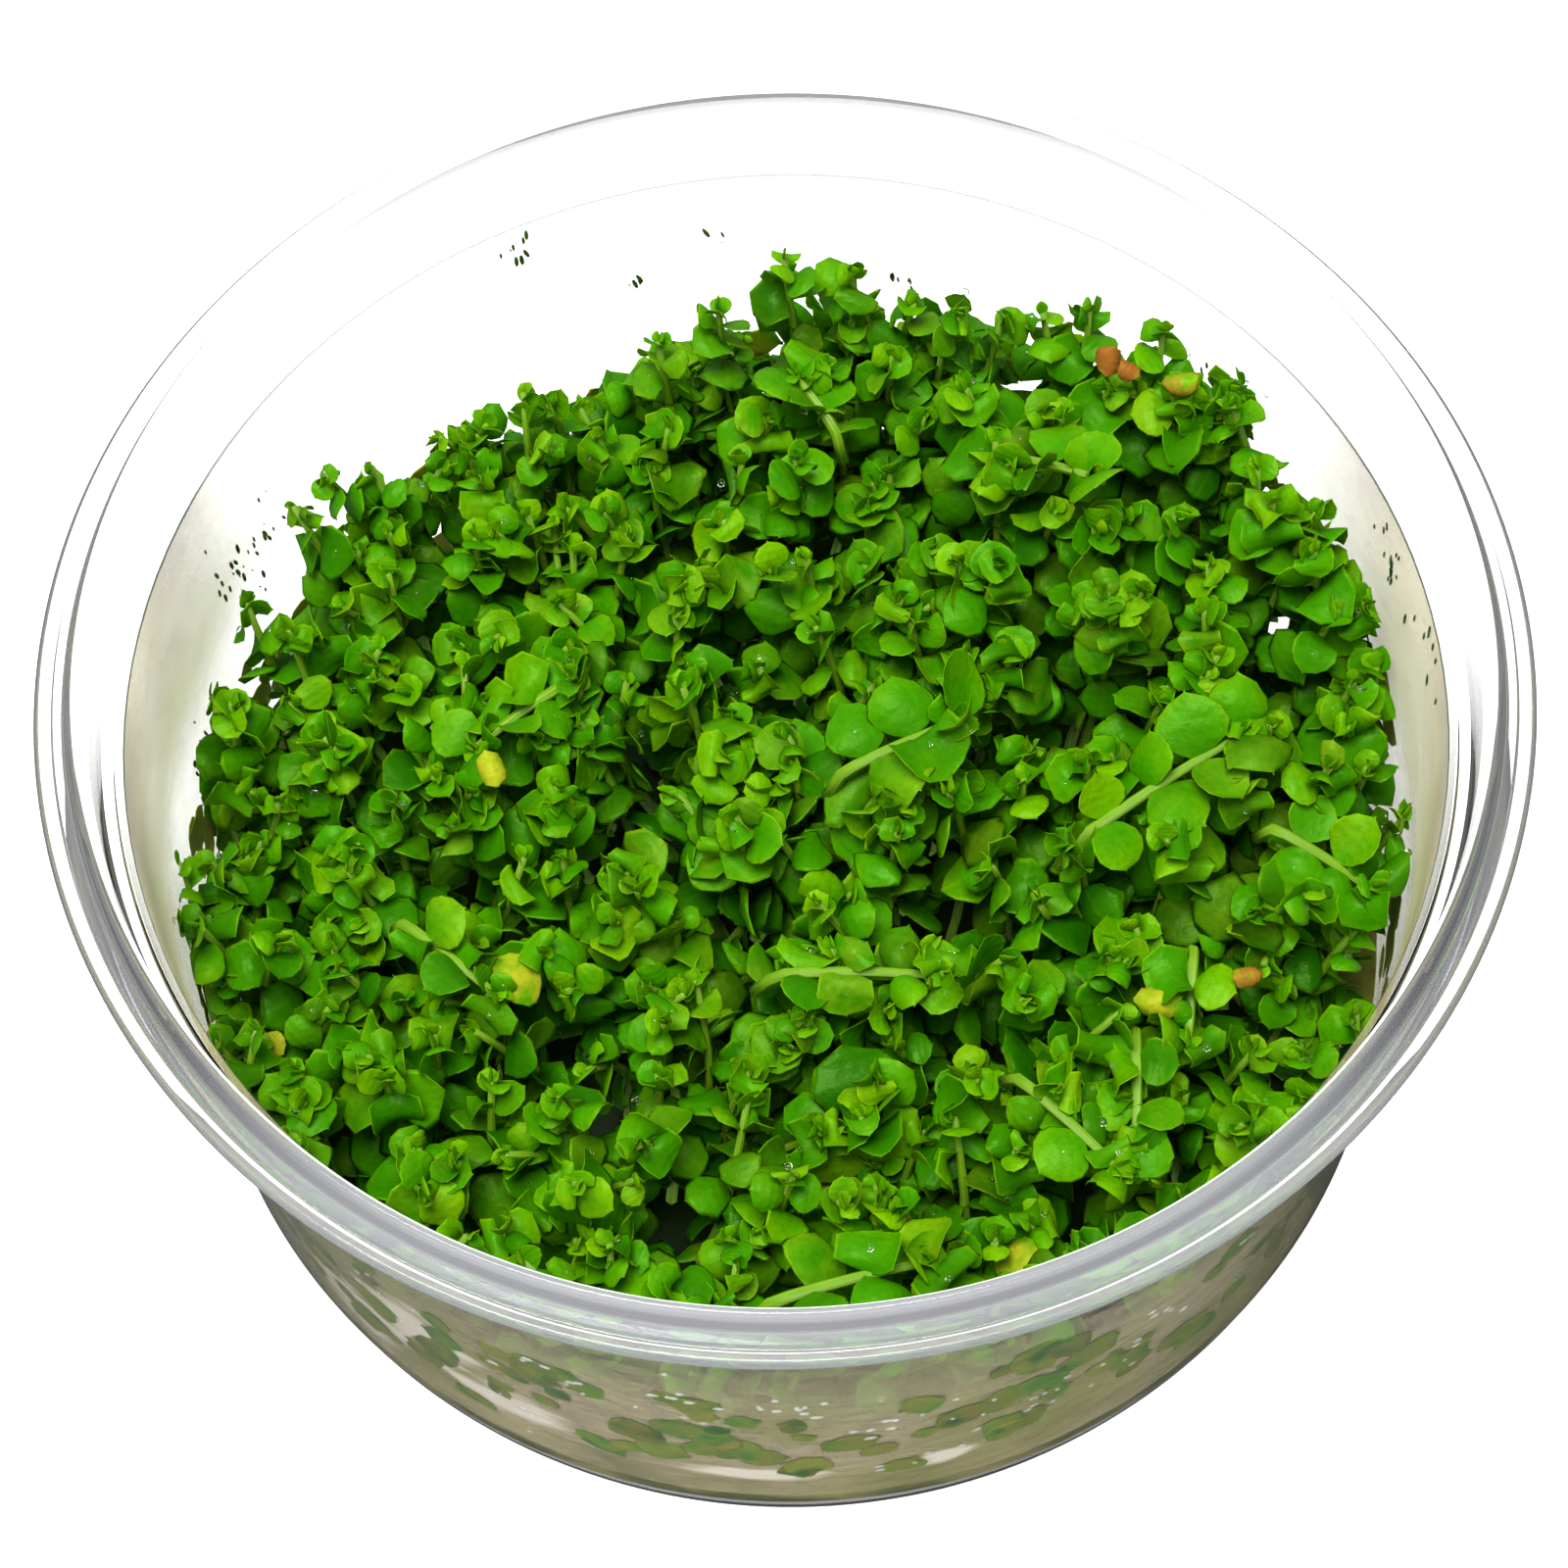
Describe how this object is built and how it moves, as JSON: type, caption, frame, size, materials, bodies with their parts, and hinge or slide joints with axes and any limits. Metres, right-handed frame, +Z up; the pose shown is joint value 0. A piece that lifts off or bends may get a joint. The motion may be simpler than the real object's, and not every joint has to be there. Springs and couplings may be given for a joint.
{
  "type": "monte carlo plant in a clear culture cup",
  "caption": "Round clear culture cup with a flanged rim, a bed of clear growing gel and a dense mat of small round-leaved aquarium plants standing on it.",
  "frame": {"origin": "middle of the cup's underside", "axes": "+Z up out of the cup, -Y towards the viewer of the picture, +X to the viewer's right"},
  "size_m": [0.105, 0.105, 0.0522],
  "materials": {
    "clear_plastic": "clear, glossy moulded plastic",
    "growing_gel": "cloudy, wet, clear gel",
    "leaf_green": "satin, fresh green leaf"
  },
  "bodies": {
    "root": {"cup": "clear_plastic", "gel": "growing_gel", "plantlet_01": "leaf_green", "plantlet_02": "leaf_green", "plantlet_03": "leaf_green", "plantlet_04": "leaf_green", "plantlet_05": "leaf_green", "plantlet_06": "leaf_green", "plantlet_07": "leaf_green", "plantlet_08": "leaf_green", "plantlet_09": "leaf_green", "plantlet_10": "leaf_green", "plantlet_11": "leaf_green", "plantlet_12": "leaf_green", "plantlet_13": "leaf_green", "plantlet_14": "leaf_green", "plantlet_15": "leaf_green", "plantlet_16": "leaf_green", "plantlet_17": "leaf_green", "plantlet_18": "leaf_green", "plantlet_19": "leaf_green", "plantlet_20": "leaf_green", "plantlet_21": "leaf_green", "plantlet_22": "leaf_green", "plantlet_23": "leaf_green", "plantlet_24": "leaf_green", "plantlet_25": "leaf_green", "plantlet_26": "leaf_green", "plantlet_27": "leaf_green", "plantlet_28": "leaf_green", "plantlet_29": "leaf_green", "plantlet_30": "leaf_green", "plantlet_31": "leaf_green", "plantlet_32": "leaf_green", "plantlet_33": "leaf_green", "plantlet_34": "leaf_green", "plantlet_35": "leaf_green", "plantlet_36": "leaf_green", "plantlet_37": "leaf_green", "plantlet_38": "leaf_green", "plantlet_39": "leaf_green", "plantlet_40": "leaf_green"}
  },
  "joints": []
}
